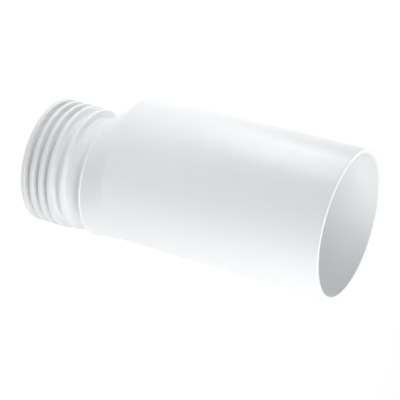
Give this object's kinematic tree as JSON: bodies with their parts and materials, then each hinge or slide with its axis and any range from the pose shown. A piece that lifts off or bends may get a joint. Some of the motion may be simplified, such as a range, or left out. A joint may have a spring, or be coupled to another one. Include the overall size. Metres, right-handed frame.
{
  "type": "offset pan connector extension",
  "caption": "White offset extension for a toilet pan connector: plain inlet tube, eccentric shoulder, narrower outlet spigot with a soft finned seal.",
  "frame": {"origin": "centre of the outlet's end face, on the axis of the outlet", "axes": "+Z along the waste way from the outlet's end to the mouth of the inlet tube; the tube's axis is parallel, offset towards -X; XZ is the plane of symmetry"},
  "size_m": [0.113, 0.11, 0.2431],
  "materials": {
    "body_plastic": "white moulded polypropylene, semi-gloss",
    "seal_rubber": "white flexible thermoplastic rubber, satin"
  },
  "bodies": {
    "root": {"body": "body_plastic", "finned_seal": "seal_rubber"}
  },
  "joints": []
}
